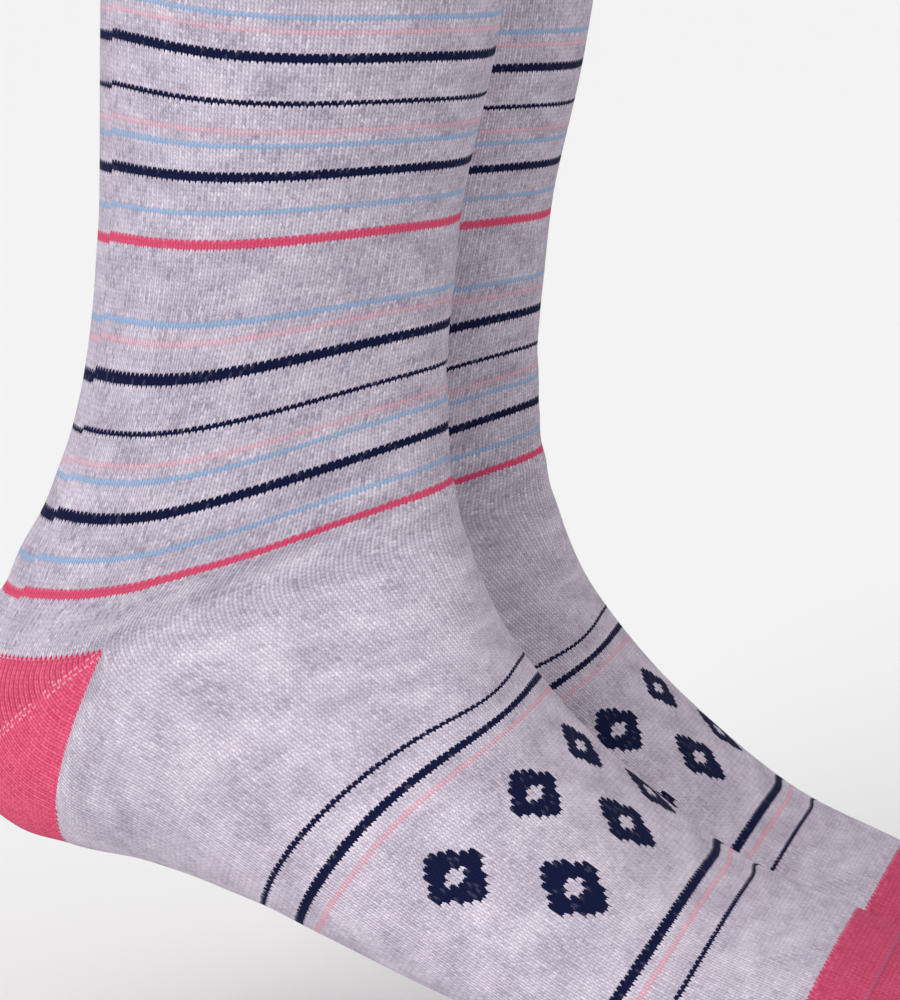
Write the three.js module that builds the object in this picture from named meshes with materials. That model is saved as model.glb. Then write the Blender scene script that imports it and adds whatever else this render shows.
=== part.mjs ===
// A pair of crew socks, filled out as if worn, in millimetres with +Z up and the toes towards -Y.
// Each sock is a hollow knitted tube: a ribbed cuff, a leg, a heel pocket, a foot and a toe pocket.
import * as THREE from 'three';

// Driving sizes, mm
const WALL = 1.6;            // thickness of the knitted fabric
const CUFF_WALL = 2.2;       // the cuff's fabric is doubled
const RIB_RAISE = 0.7;       // how far a rib stands above the groove beside it
const RIBS = 36;             // ribs round a cuff
const SEAM_GAP = 0.3;        // clearance between pieces that are knitted to each other
const PAIR_SPACING = 100;    // from the middle of one sock to the middle of the other
const LEFT_DROP = 12;        // the left sock hangs this much lower than the right
const LEFT_SETBACK = 5;      // and this much further back
const CUFF_HEIGHT = 30;      // cuff, in courses

// Mesh density
const SIDES = 28;            // points round a course, a multiple of four
const COURSES_PER_ROW = 10;
const HEEL_ROWS = 7;
const TOE_ROWS = 9;

// Sections of a sock on its middle plane. `forward` is measured from the back of the heel and `height`
// from its underside. A course is one round of stitches, about 1 mm apart; course 0 is the top of the leg.
// Each course passes through a front point, a side point (where it is widest) and a back or sole point.
const TUBE = table(
  ['course', 'frontForward', 'frontHeight', 'sideForward', 'sideHeight', 'backForward', 'backHeight',
    'halfWidth', 'frontPower', 'backPower', 'lean'],
  [
    [-30, 127, 233, 82, 235, 38, 235, 45, 2.0, 1.9, 0],            // top of the cuff
    [0, 123, 202, 80, 204.5, 37, 205, 43, 2.0, 1.9, 0],            // top of the leg
    [30, 118.5, 173, 77, 175.5, 36.2, 175.3, 41, 2.0, 1.9, 0],     // calf
    [69, 111.3, 138.5, 72, 137.2, 34.6, 133.8, 36, 2.0, 1.9, 0],
    [86, 110, 124, 68, 120, 33, 116.2, 33.2, 2.0, 1.9, 0],
    [94, 109.3, 116.5, 65, 109.3, 31.2, 104.5, 32, 2.0, 1.9, 0],   // ankle
    [113, 109, 100, 59, 87, 24.5, 82.5, 30.5, 2.0, 1.9, 0],
    [133, 110.3, 83, 51, 64, 12, 58, 29.8, 2.0, 2.0, 0],
    [147, 112.3, 74, 43, 49, 5, 45, 30, 2.1, 2.0, 0],              // last course before the heel
    [207, 112.3, 74, 43, 49, 28, 0, 30, 2.1, 2.5, 0],              // first course of the foot
    [230, 118, 57.5, 65, 32, 50, -3, 32, 2.2, 2.5, 0],
    [253, 124.5, 45, 90.5, 16.5, 73.5, -8.5, 35.5, 2.4, 2.6, 0],   // instep
    [285, 142, 24.5, 121.5, -0.5, 108, -20.5, 40, 2.3, 2.7, 0],
    [314, 167, 4.5, 154, -18, 143, -33, 43, 2.2, 2.8, 1],          // ball of the foot
    [349, 196.5, -8.5, 187, -32, 179, -47, 45, 2.2, 2.8, 3],       // first course of the toe
    [358, 205, -12, 195, -36, 188, -50.5, 45, 2.2, 2.7, 4],        // linked seam over the toes
  ]);

// A pocket's courses turn about the two side points of the tube, so each is given by its middle point alone.
const HEEL = table(
  ['course', 'backForward', 'backHeight', 'backPower'],
  [
    [165, 0, 26, 2.1],
    [180, 4, 11, 2.2],
    [195, 16, 2, 2.4],
  ]);
const TOE = table(
  ['course', 'forward', 'height', 'power', 'lean'],
  [
    [358, 188, -50.5, 2.7, 4],
    [373, 203, -55.5, 2.5, 6],
    [388, 218, -58, 2.3, 8],
    [400, 229.5, -55, 2.2, 10],
    [411, 235, -47, 2.2, 10],
    [422, 234, -36, 2.2, 10],
    [436, 225, -25, 2.2, 8],
    [449, 215, -17, 2.2, 6],
    [460, 205, -12, 2.2, 4],
  ]);

const HEEL_START = 147;
const FOOT_START = 207;
const TOE_START = 349;
const TOE_SEAM = 358;
// At the heel's corners the courses bend: direction in which the front half leaves the corner and the foot's
// back half comes up to it, how far along the tube the bend fades out, and how much flatter the leg's back half
// starts. The heel's courses swing from the leg's direction to the foot's, slowly at first.
const CORNER_AIM = [44, 22];
const CORNER_RISE = [27.5, 57.5];
const CORNER_FADE = 14;
const CORNER_EASE = 0.78;
const SWING_POWER = 2.5;
const CORNER_CLEARANCE = 0.05;   // rad, keeps the heel piece just off the corner itself
const HEEL_TRIM = 0.3;           // mm off the heel's two edges; the leg and the foot give way as well
const STEP = 0.25;               // courses, for slopes

function table(columns, rows) {
  return rows.map((row) => Object.fromEntries(columns.map((name, i) => [name, row[i]])));
}

// Smooth curve through one or more columns of a table, at a given course.
function along(rows, course, names, key = (row) => row.course) {
  const x = rows.map(key);
  const last = rows.length - 1;
  let i = 0;
  while (i < last - 1 && course >= x[i + 1]) i += 1;
  const width = x[i + 1] - x[i];
  const t = (course - x[i]) / width;
  return names.map((name) => {
    const y = rows.map((row) => row[name]);
    const rise = (k) => (y[k + 1] - y[k]) / (x[k + 1] - x[k]);
    const slope = (k) => {
      if (k === 0) return rise(0);
      if (k === last) return rise(last - 1);
      const before = x[k] - x[k - 1];
      const after = x[k + 1] - x[k];
      return (rise(k - 1) * after + rise(k) * before) / (before + after);
    };
    return y[i] * (1 + 2 * t) * (1 - t) ** 2 + slope(i) * width * t * (1 - t) ** 2
      + y[i + 1] * t * t * (3 - 2 * t) + slope(i + 1) * width * t * t * (t - 1);
  });
}

// Courses without those of the heel pocket: the front and sides of the tube run on past it.
const HEEL_COURSES = FOOT_START - HEEL_START;
const skipHeel = (course) => (course <= HEEL_START ? course : Math.max(HEEL_START, course - HEEL_COURSES));
const FRONT_ROWS = TUBE.filter((row) => row.course !== FOOT_START);
const BACK_ROWS = [...TUBE, ...HEEL].sort((a, b) => a.course - b.course);

const add = (a, b, scale = 1) => [a[0] + b[0] * scale, a[1] + b[1] * scale];
const mix = (a, b, t) => [a[0] + (b[0] - a[0]) * t, a[1] + (b[1] - a[1]) * t];

// A point moved off its curve by `inset`, to the left of the way that the courses run where turn is 1.
function insetPoint(curve, course, inset, turn) {
  const before = curve(course - STEP);
  const after = curve(course + STEP);
  const run = [after[0] - before[0], after[1] - before[1]];
  const length = Math.hypot(...run);
  return add(curve(course), [-run[1] / length, run[0] / length], inset * turn);
}

const frontCurve = (course) => along(FRONT_ROWS, skipHeel(course), ['frontForward', 'frontHeight'],
  (row) => skipHeel(row.course));
const sidePoint = (course) => along(FRONT_ROWS, skipHeel(course), ['sideForward', 'sideHeight'],
  (row) => skipHeel(row.course));
const backCurve = (course) => along(BACK_ROWS, course, ['backForward', 'backHeight']);
const backPower = (course) => along(BACK_ROWS, course, ['backPower'])[0];
const tubeShape = (course) => along(FRONT_ROWS, skipHeel(course), ['halfWidth', 'frontPower', 'lean'],
  (row) => skipHeel(row.course));

// Radius of a superellipse of half axes 1 at an angle from its first axis.
const superRadius = (angle, power) => (
  (Math.abs(Math.cos(angle)) ** power + Math.abs(Math.sin(angle)) ** power) ** (-1 / power));

// Outer surface of the tube, or one `inset` inside it. The angle is 0 at the front and PI at the back.
function tubePoint(course, angle, inset = 0) {
  const front = insetPoint(frontCurve, course, inset, -1);
  const back = insetPoint(backCurve, course, inset, 1);
  const side = sidePoint(course);
  const [halfWidth, frontPower, lean] = tubeShape(course);
  const ahead = Math.cos(angle) >= 0;
  const radius = superRadius(angle, ahead ? frontPower : backPower(course));
  const reach = radius * Math.cos(angle);
  const straight = [(front[0] - back[0]) / 2, (front[1] - back[1]) / 2];
  const away = course <= HEEL_START ? HEEL_START - course : Math.max(0, course - FOOT_START);
  const bend = Math.exp(-((away / CORNER_FADE) ** 2));
  const behind = course <= HEEL_START ? mix([0, 0], straight, CORNER_EASE) : CORNER_RISE;
  const aim = mix(straight, ahead ? CORNER_AIM : behind, bend);
  const end = ahead ? front : back;
  const curl = add(add(end, side, -1), aim, -Math.sign(reach || 1));
  const middle = add(add(side, aim, reach), curl, reach * reach);
  return place(middle, -(halfWidth - inset) * radius * Math.sin(angle), lean);
}

// Outer surface of a pocket: a course runs from the side point at angle 0 over its middle to PI.
function pocketPoint(pocket, course, angle, inset = 0) {
  const middle = insetPoint(pocket.middle, course, inset, 1);
  const opposite = pocket.opposite(course, inset);
  const aim = pocket.swing([(middle[0] - opposite[0]) / 2, (middle[1] - opposite[1]) / 2], course);
  const [power, midLean] = pocket.shape(course);
  const radius = superRadius(angle, power);
  const reach = radius * Math.sin(angle);
  const curl = add(add(middle, pocket.side, -1), aim, -1);
  const point = add(add(pocket.side, aim, reach), curl, reach * reach);
  const lean = pocket.lean + (midLean - pocket.lean) * reach * reach;
  return place(point, -(pocket.halfWidth - inset) * radius * Math.cos(angle), lean);
}

const place = ([forward, height], across, lean) => ({ across, lean, forward, height });

// The side points and width are the tube's where the pocket starts. A course's aim is half the way to the
// opposite point from its middle, as round a tube: the heel's is the front of the ankle, and the toe's moves
// from the top of the foot, opposite the sole, to the sole.
function pocketOn(start, parts) {
  const [halfWidth, , lean] = tubeShape(start);
  return { side: sidePoint(start), halfWidth, lean, ...parts };
}
const heelPocket = pocketOn(HEEL_START, {
  swing: (aim, course) => mix(mix([0, 0], aim, CORNER_EASE), [-CORNER_RISE[0], -CORNER_RISE[1]],
    ((course - HEEL_START) / HEEL_COURSES) ** SWING_POWER),
  middle: backCurve,
  shape: (course) => [backPower(course), 0],
  opposite: (course, inset) => insetPoint(frontCurve, HEEL_START, inset, -1),
});
const TOE_END = TOE.at(-1).course;
const toePocket = pocketOn(TOE_SEAM, {
  swing: (aim) => aim,
  middle: (course) => along(TOE, course, ['forward', 'height']),
  shape: (course) => along(TOE, course, ['power', 'lean']),
  opposite: (course, inset) => mix(insetPoint(frontCurve, TOE_SEAM, inset, -1),
    insetPoint(backCurve, TOE_SEAM, inset, 1), (course - TOE_SEAM) / (TOE_END - TOE_SEAM)),
});

// Closed shell over a list of cells. A cell is four corner keys, counterclockwise from outside;
// outer(key) and inner(key) give the two faces, and edges that belong to one cell get a rim.
function shell(cells, outer, inner) {
  const positions = [];
  const indices = [];
  const ids = new Map();
  const id = (key, layer) => {
    const name = `${layer}:${key}`;
    if (!ids.has(name)) {
      ids.set(name, positions.length / 3);
      positions.push(...(layer === 'outer' ? outer(key) : inner(key)));
    }
    return ids.get(name);
  };
  const edges = new Set();
  for (const cell of cells) {
    const corners = cell.filter((key, i) => key !== cell[(i + 1) % cell.length]);
    for (let i = 1; i < corners.length - 1; i += 1) {
      indices.push(id(corners[0], 'outer'), id(corners[i], 'outer'), id(corners[i + 1], 'outer'));
      indices.push(id(corners[0], 'inner'), id(corners[i + 1], 'inner'), id(corners[i], 'inner'));
    }
    corners.forEach((key, i) => edges.add(`${key}>${corners[(i + 1) % corners.length]}`));
  }
  for (const edge of edges) {
    const [from, to] = edge.split('>');
    if (edges.has(`${to}>${from}`)) continue;
    indices.push(id(to, 'outer'), id(from, 'outer'), id(from, 'inner'));
    indices.push(id(to, 'outer'), id(from, 'inner'), id(to, 'inner'));
  }
  const geometry = new THREE.BufferGeometry();
  geometry.setAttribute('position', new THREE.Float32BufferAttribute(positions, 3));
  geometry.setIndex(indices);
  geometry.computeVertexNormals();
  return geometry;
}

// Evenly spaced courses from one to another, both included.
function courseRows(first, last) {
  const steps = Math.ceil((last - first) / COURSES_PER_ROW);
  return Array.from({ length: steps + 1 }, (_, i) => first + ((last - first) * i) / steps);
}

// Cells between neighbouring rows of keys; a closed row also joins its last key to its first.
function gridCells(rows, closed) {
  const cells = [];
  for (let i = 0; i < rows.length - 1; i += 1) {
    const count = rows[i].length;
    for (let j = 0; j < (closed ? count : count - 1); j += 1) {
      const k = (j + 1) % count;
      cells.push([rows[i][j], rows[i][k], rows[i + 1][k], rows[i + 1][j]]);
    }
  }
  return cells;
}

const turn = (j, count) => (2 * Math.PI * j) / count;
const range = (count) => Array.from({ length: count }, (_, i) => i);

// toeSide is +1 where the big toe lies towards +X, as on the right foot, and -1 on the left.
const toXYZ = (p, toeSide) => [p.across + p.lean * toeSide, -p.forward, p.height];

function cuffGeometry(toeSide) {
  const columns = RIBS * 4;
  const rows = [-CUFF_HEIGHT, -SEAM_GAP].map((course) => range(columns).map((j) => `${course},${j}`));
  const at = (key, inset) => {
    const [course, j] = key.split(',').map(Number);
    return toXYZ(tubePoint(course, turn(j, columns), inset), toeSide);
  };
  const raise = (key) => (Number(key.split(',')[1]) % 4 < 2 ? RIB_RAISE : 0);
  return shell(gridCells(rows, true), (key) => at(key, -raise(key)), (key) => at(key, CUFF_WALL - RIB_RAISE));
}

// A stretch of plain tube from one course to another.
function tubeGeometry(toeSide, first, last) {
  const rows = courseRows(first, last).map((course) => range(SIDES).map((j) => `${course},${j}`));
  const at = (key, inset) => {
    const [course, j] = key.split(',').map(Number);
    return toXYZ(tubePoint(course, turn(j, SIDES), inset), toeSide);
  };
  return shell(gridCells(rows, true), (key) => at(key, 0), (key) => at(key, WALL));
}

// The front halves of the leg's last course and of the foot's first one meet, and the heel fills the back.
const legGeometry = (toeSide) => tubeGeometry(toeSide, 0, HEEL_START - SEAM_GAP / 2);
const footGeometry = (toeSide) => tubeGeometry(toeSide, FOOT_START + SEAM_GAP / 2, TOE_START);

function heelGeometry(toeSide) {
  const columns = SIDES / 2;
  const rows = range(HEEL_ROWS + 1).map((i) => range(columns + 1).map((j) => `${i},${j}`));
  const angleOf = (j) => (j === 0 ? CORNER_CLEARANCE
    : j === columns ? Math.PI - CORNER_CLEARANCE : (Math.PI * j) / columns);
  const at = (key, inset) => {
    const [i, j] = key.split(',').map(Number);
    const angle = angleOf(j);
    const trim = HEEL_TRIM / coursePitch(angle);
    const course = HEEL_START + trim + ((HEEL_COURSES - 2 * trim) * i) / HEEL_ROWS;
    return toXYZ(pocketPoint(heelPocket, course, angle, inset), toeSide);
  };
  return shell(gridCells(rows, false), (key) => at(key, 0), (key) => at(key, WALL));
}

// Distance between neighbouring heel courses, measured over the whole pocket at one angle.
function coursePitch(angle) {
  const point = (course) => pocketPoint(heelPocket, course, angle);
  let length = 0;
  for (let course = HEEL_START; course < FOOT_START; course += 1) {
    const a = point(course);
    const b = point(course + 1);
    length += Math.hypot(b.forward - a.forward, b.height - a.height, b.across - a.across);
  }
  return length / HEEL_COURSES;
}

function toeGeometry(toeSide) {
  const half = SIDES / 2;
  const quarter = SIDES / 4;
  const tube = [TOE_START + SEAM_GAP, TOE_SEAM].map((course) => range(SIDES).map((j) => `tube,${course},${j}`));
  // The pocket's first course is the sole half of the seam course, and its last is the top half.
  const pocketKey = (i, k) => {
    if (i === 0 || k === 0 || k === half) return `tube,${TOE_SEAM},${quarter + k}`;
    if (i === TOE_ROWS) return `tube,${TOE_SEAM},${(SIDES + quarter - k) % SIDES}`;
    return `pocket,${i},${k}`;
  };
  const pocket = range(TOE_ROWS + 1).map((i) => range(half + 1).map((k) => pocketKey(i, k)));
  const at = (key, inset) => {
    const [zone, a, b] = key.split(',');
    if (zone === 'tube') return toXYZ(tubePoint(Number(a), turn(Number(b), SIDES), inset), toeSide);
    const course = TOE_SEAM + ((TOE_END - TOE_SEAM) * Number(a)) / TOE_ROWS;
    return toXYZ(pocketPoint(toePocket, course, (Math.PI * Number(b)) / half, inset), toeSide);
  };
  const cells = [...gridCells(tube, true), ...gridCells(pocket, false)];
  return shell(cells, (key) => at(key, 0), (key) => at(key, WALL));
}

const heather = () => new THREE.MeshStandardMaterial({ color: 0xc8bccb, roughness: 0.95, metalness: 0 });
const hotPink = () => new THREE.MeshStandardMaterial({ color: 0xdf5a80, roughness: 0.95, metalness: 0 });

function sock(foot, toeSide) {
  const group = new THREE.Group();
  const pieces = [
    ['cuff', cuffGeometry, heather],
    ['leg', legGeometry, heather],
    ['heel', heelGeometry, hotPink],
    ['foot', footGeometry, heather],
    ['toe', toeGeometry, hotPink],
  ];
  for (const [name, geometry, material] of pieces) {
    const mesh = new THREE.Mesh(geometry(toeSide), material());
    mesh.name = `${foot}_${name}`;
    group.add(mesh);
  }
  return group;
}

// The origin lies midway between the middles of the two cuff openings, where the wearer's legs hold the pair.
const opening = mix(frontCurve(-CUFF_HEIGHT), backCurve(-CUFF_HEIGHT), 0.5);
const pair = new THREE.Group();
const right = sock('right', 1);
right.position.set(-PAIR_SPACING / 2, opening[0] - LEFT_SETBACK / 2, -opening[1] + LEFT_DROP / 2);
const left = sock('left', -1);
left.position.set(PAIR_SPACING / 2, opening[0] + LEFT_SETBACK / 2, -opening[1] - LEFT_DROP / 2);
pair.add(right, left);

export default pair;
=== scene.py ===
# %% [markdown]
# A pair of crew socks, filled out as if feet and calves were in them. A circular machine knits each one in a single
# run: a ribbed cuff, a striped heather leg, a pink heel pocket, the foot and a pink toe pocket that a linked seam
# closes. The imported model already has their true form, so this lesson lays fine knitted skins on it. It works in
# rounds (one round is about 1 mm of knitting) and wales (columns of stitches, about 1.4 mm apart).

import bpy
import numpy as np
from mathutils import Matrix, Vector


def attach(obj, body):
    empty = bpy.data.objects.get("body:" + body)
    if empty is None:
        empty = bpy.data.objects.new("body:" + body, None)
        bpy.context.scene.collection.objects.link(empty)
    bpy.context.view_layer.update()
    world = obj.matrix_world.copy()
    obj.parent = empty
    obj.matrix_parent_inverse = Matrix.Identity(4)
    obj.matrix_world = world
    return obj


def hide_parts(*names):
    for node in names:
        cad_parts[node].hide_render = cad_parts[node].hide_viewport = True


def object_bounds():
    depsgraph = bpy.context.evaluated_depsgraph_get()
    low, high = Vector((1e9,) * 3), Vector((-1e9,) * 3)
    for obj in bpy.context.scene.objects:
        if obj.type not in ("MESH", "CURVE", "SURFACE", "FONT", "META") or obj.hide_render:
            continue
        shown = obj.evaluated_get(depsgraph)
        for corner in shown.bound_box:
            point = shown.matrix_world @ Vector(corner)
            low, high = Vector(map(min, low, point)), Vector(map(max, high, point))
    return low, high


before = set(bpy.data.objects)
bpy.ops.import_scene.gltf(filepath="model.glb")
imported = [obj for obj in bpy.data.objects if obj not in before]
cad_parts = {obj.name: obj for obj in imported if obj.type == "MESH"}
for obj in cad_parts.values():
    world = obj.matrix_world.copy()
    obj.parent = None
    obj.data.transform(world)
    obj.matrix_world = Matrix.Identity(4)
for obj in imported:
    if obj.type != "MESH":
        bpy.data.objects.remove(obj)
cad_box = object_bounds()
MM = 0.001
print("solids in the frame:", len(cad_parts))

# %% [markdown]
# The sock's form comes from sections on its middle plane. Each course passes through a front point, a side point and
# a back point, and a smooth curve runs through each column of the table. It is the same table as in the part's
# source, because a skin that is worked out from the same sections lies on its solid with no fitting.

# %% Sections of a sock, mm
TUBE = [
    # course, front forward, front height, side forward, side height, back forward, back height,
    # half width, front power, back power, lean
    (-30, 127, 233, 82, 235, 38, 235, 45, 2.0, 1.9, 0),
    (0, 123, 202, 80, 204.5, 37, 205, 43, 2.0, 1.9, 0),
    (30, 118.5, 173, 77, 175.5, 36.2, 175.3, 41, 2.0, 1.9, 0),
    (69, 111.3, 138.5, 72, 137.2, 34.6, 133.8, 36, 2.0, 1.9, 0),
    (86, 110, 124, 68, 120, 33, 116.2, 33.2, 2.0, 1.9, 0),
    (94, 109.3, 116.5, 65, 109.3, 31.2, 104.5, 32, 2.0, 1.9, 0),
    (113, 109, 100, 59, 87, 24.5, 82.5, 30.5, 2.0, 1.9, 0),
    (133, 110.3, 83, 51, 64, 12, 58, 29.8, 2.0, 2.0, 0),
    (147, 112.3, 74, 43, 49, 5, 45, 30, 2.1, 2.0, 0),
    (207, 112.3, 74, 43, 49, 28, 0, 30, 2.1, 2.5, 0),
    (230, 118, 57.5, 65, 32, 50, -3, 32, 2.2, 2.5, 0),
    (253, 124.5, 45, 90.5, 16.5, 73.5, -8.5, 35.5, 2.4, 2.6, 0),
    (285, 142, 24.5, 121.5, -0.5, 108, -20.5, 40, 2.3, 2.7, 0),
    (314, 167, 4.5, 154, -18, 143, -33, 43, 2.2, 2.8, 1),
    (349, 196.5, -8.5, 187, -32, 179, -47, 45, 2.2, 2.8, 3),
    (358, 205, -12, 195, -36, 188, -50.5, 45, 2.2, 2.7, 4),
]
HEEL = [(165, 0, 26, 2.1), (180, 4, 11, 2.2), (195, 16, 2, 2.4)]  # course, forward, height, power
TOE = [  # course, forward, height, power, lean
    (358, 188, -50.5, 2.7, 4),
    (373, 203, -55.5, 2.5, 6),
    (388, 218, -58, 2.3, 8),
    (400, 229.5, -55, 2.2, 10),
    (411, 235, -47, 2.2, 10),
    (422, 234, -36, 2.2, 10),
    (436, 225, -25, 2.2, 8),
    (449, 215, -17, 2.2, 6),
    (460, 205, -12, 2.2, 4),
]
HEEL_START, FOOT_START, TOE_START, TOE_SEAM, TOE_END = 147, 207, 349, 358, 460
HEEL_COURSES = FOOT_START - HEEL_START
CORNER_AIM, CORNER_RISE = np.array([44.0, 22.0]), np.array([27.5, 57.5])
CORNER_FADE, CORNER_EASE, SWING_POWER = 14, 0.78, 2.5
STEP = 0.25  # rounds, for slopes
RIBS, RIB_RAISE, CUFF_WALL, CUFF_HEIGHT, WALL = 36, 0.7, 2.2, 30, 1.6
print("sections:", len(TUBE), "of the tube,", len(HEEL), "of the heel,", len(TOE), "of the toe")


# %% Smooth curves through the sections
def smooth(rows, columns):
    """Hermite curve through some columns of a table, at any courses. The first column is the course."""
    table = np.array(rows, float)
    x, y = table[:, 0], table[:, columns]
    width = np.diff(x)[:, None]
    rise = np.diff(y, axis=0) / width
    inside = (rise[:-1] * width[1:] + rise[1:] * width[:-1]) / (width[1:] + width[:-1])
    slope = np.vstack([rise[:1], inside, rise[-1:]])

    def at(course):
        i = np.clip(np.searchsorted(x, course, side="right") - 1, 0, len(x) - 2)
        t = ((course - x[i]) / width[i, 0])[..., None]
        return (
            y[i] * (1 + 2 * t) * (1 - t) ** 2
            + slope[i] * width[i] * t * (1 - t) ** 2
            + y[i + 1] * t * t * (3 - 2 * t)
            + slope[i + 1] * width[i] * t * t * (t - 1)
        )

    return at


def skip_heel(course):
    """The front and sides of the tube run on past the heel's courses."""
    return np.where(course <= HEEL_START, course, np.maximum(HEEL_START, course - HEEL_COURSES))


front_rows = [(float(skip_heel(r[0])), *r[1:]) for r in TUBE if r[0] != FOOT_START]
back_rows = sorted([(r[0], r[5], r[6], r[9]) for r in TUBE] + HEEL)
run_front, run_side = smooth(front_rows, [1, 2]), smooth(front_rows, [3, 4])
run_shape = smooth(front_rows, [7, 8, 10])
back_curve, run_power = smooth(back_rows, [1, 2]), smooth(back_rows, [3])
toe_curve, toe_shape = smooth(TOE, [1, 2]), smooth(TOE, [3, 4])


def front_curve(course):
    return run_front(skip_heel(course))


def inset_point(curve, course, inset, turn):
    run = curve(course + STEP) - curve(course - STEP)
    normal = np.stack([-run[..., 1], run[..., 0]], -1) / np.linalg.norm(run, axis=-1, keepdims=True)
    return curve(course) + normal * np.asarray(inset * turn)[..., None]


def super_radius(angle, power):
    return (np.abs(np.cos(angle)) ** power + np.abs(np.sin(angle)) ** power) ** (-1 / power)


# %% Surface of the tube and of the two pockets
def gather(across, lean, middle):
    """Across, lean, forward and height in one array."""
    return np.concatenate([across[..., None], lean[..., None], middle], -1)


def tube(course, angle, inset=0.0):
    """Point of the tube, `inset` mm inside its outer face. Angle 0 is the front and pi the back."""
    course, angle = np.broadcast_arrays(np.asarray(course, float), np.asarray(angle, float))
    front, back = inset_point(front_curve, course, inset, -1), inset_point(back_curve, course, inset, 1)
    side = run_side(skip_heel(course))
    half_width, front_power, lean = np.moveaxis(run_shape(skip_heel(course)), -1, 0)
    ahead = np.cos(angle) >= 0
    radius = super_radius(angle, np.where(ahead, front_power, run_power(course)[..., 0]))
    reach = (radius * np.cos(angle))[..., None]
    ahead = ahead[..., None]
    straight = (front - back) / 2
    away = np.where(course <= HEEL_START, HEEL_START - course, np.maximum(0, course - FOOT_START))
    bend = np.exp(-((away / CORNER_FADE) ** 2))[..., None]
    behind = np.where((course <= HEEL_START)[..., None], straight * CORNER_EASE, CORNER_RISE)
    aim = straight + (np.where(ahead, CORNER_AIM, behind) - straight) * bend
    end = np.where(ahead, front, back)
    middle = side + aim * reach + (end - side - aim * np.where(ahead, 1, -1)) * reach**2
    return gather(-(half_width - inset) * radius * np.sin(angle), lean, middle)


def pocket(start, middle_curve, shape, opposite, swing):
    """Surface of a pocket whose courses turn about the tube's two side points at one course."""
    side = run_side(skip_heel(np.array(float(start))))
    half_width, _, start_lean = run_shape(skip_heel(np.array(float(start))))

    def at(course, angle, inset=0.0):
        course, angle = np.broadcast_arrays(np.asarray(course, float), np.asarray(angle, float))
        middle = inset_point(middle_curve, course, inset, 1)
        aim = swing((middle - opposite(course, inset)) / 2, course)
        power, lean = np.moveaxis(shape(course), -1, 0)
        radius = super_radius(angle, power)
        reach = (radius * np.sin(angle))[..., None]
        point = side + aim * reach + (middle - side - aim) * reach**2
        lean = start_lean + (lean - start_lean) * reach[..., 0] ** 2
        return gather(-(half_width - inset) * radius * np.cos(angle), lean, point)

    return at


def heel_swing(aim, course):
    """The heel's courses swing from the leg's direction to the foot's, slowly at first."""
    share = ((course - HEEL_START) / HEEL_COURSES)[..., None] ** SWING_POWER
    return aim * CORNER_EASE + (-CORNER_RISE - aim * CORNER_EASE) * share


def across_toe(course, inset):
    """The point that a course of the toe faces: from the top of the seam's round to the sole, and it ends there."""
    share = ((course - TOE_SEAM) / (TOE_END - TOE_SEAM))[..., None]
    seam = np.full_like(course, TOE_SEAM)
    top, sole = inset_point(front_curve, seam, inset, -1), inset_point(back_curve, seam, inset, 1)
    return (1 - share) * top + share * sole


heel_pocket = pocket(
    HEEL_START,
    back_curve,
    lambda course: np.concatenate([run_power(course), np.zeros_like(course)[..., None]], -1),
    lambda course, inset: inset_point(front_curve, np.full_like(course, HEEL_START), inset, -1),
    heel_swing,
)
toe_pocket = pocket(TOE_SEAM, toe_curve, toe_shape, across_toe, lambda aim, course: aim)
print("back of the heel, mm:", heel_pocket(165.0, np.pi / 2)[2:].round(1))

# %% [markdown]
# Where each sock stands: the right one nearer to the camera, the left one behind it, a little lower and further back.
# The toes lean to the side of the big toe, which is what tells the two feet apart.

# %% Places of the two socks
PLACES = {"right": (1, (-50, 80, -228)), "left": (-1, (50, 85, -240))}  # side of the big toe, shift in mm


def in_room(points, toe_side, shift):
    across, lean, forward, height = np.moveaxis(points, -1, 0)
    return (np.stack([across + lean * toe_side, -forward, height], -1) + shift) * MM


# %% [markdown]
# Stitches sit in even rows and columns, so the mesh follows them: one column of the grid for each wale. The front
# and the back of the tube hold 84 wales each, spaced evenly by length round every course. The map named knit counts
# wales and rounds, and every stitch, stripe and crease is placed by it.

# %% Even wales round a course
WALES, HALF, QUARTER = 168, 84, 42
ROUNDS_PER_ROW = 2


def even_angles(surface, courses, start, stop, count):
    """Angles that part each course from start to stop into `count` equal lengths."""
    fine = np.linspace(start, stop, 4 * count + 1)
    points = surface(np.asarray(courses, float)[:, None], fine[None, :])
    steps = np.linalg.norm(np.diff(points[..., [0, 2, 3]], axis=1), axis=-1)
    length = np.hstack([np.zeros((len(steps), 1)), np.cumsum(steps, axis=1)])
    return np.array([np.interp(np.linspace(0, run[-1], count + 1), run, fine) for run in length])


def tube_angles(courses):
    front = even_angles(tube, courses, -np.pi / 2, np.pi / 2, HALF)
    back = even_angles(tube, courses, np.pi / 2, 1.5 * np.pi, HALF)
    return np.hstack([front, back[:, 1:-1]])


def rows_between(first, last, step=ROUNDS_PER_ROW):
    return np.linspace(first, last, round((last - first) / step) + 1)
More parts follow.
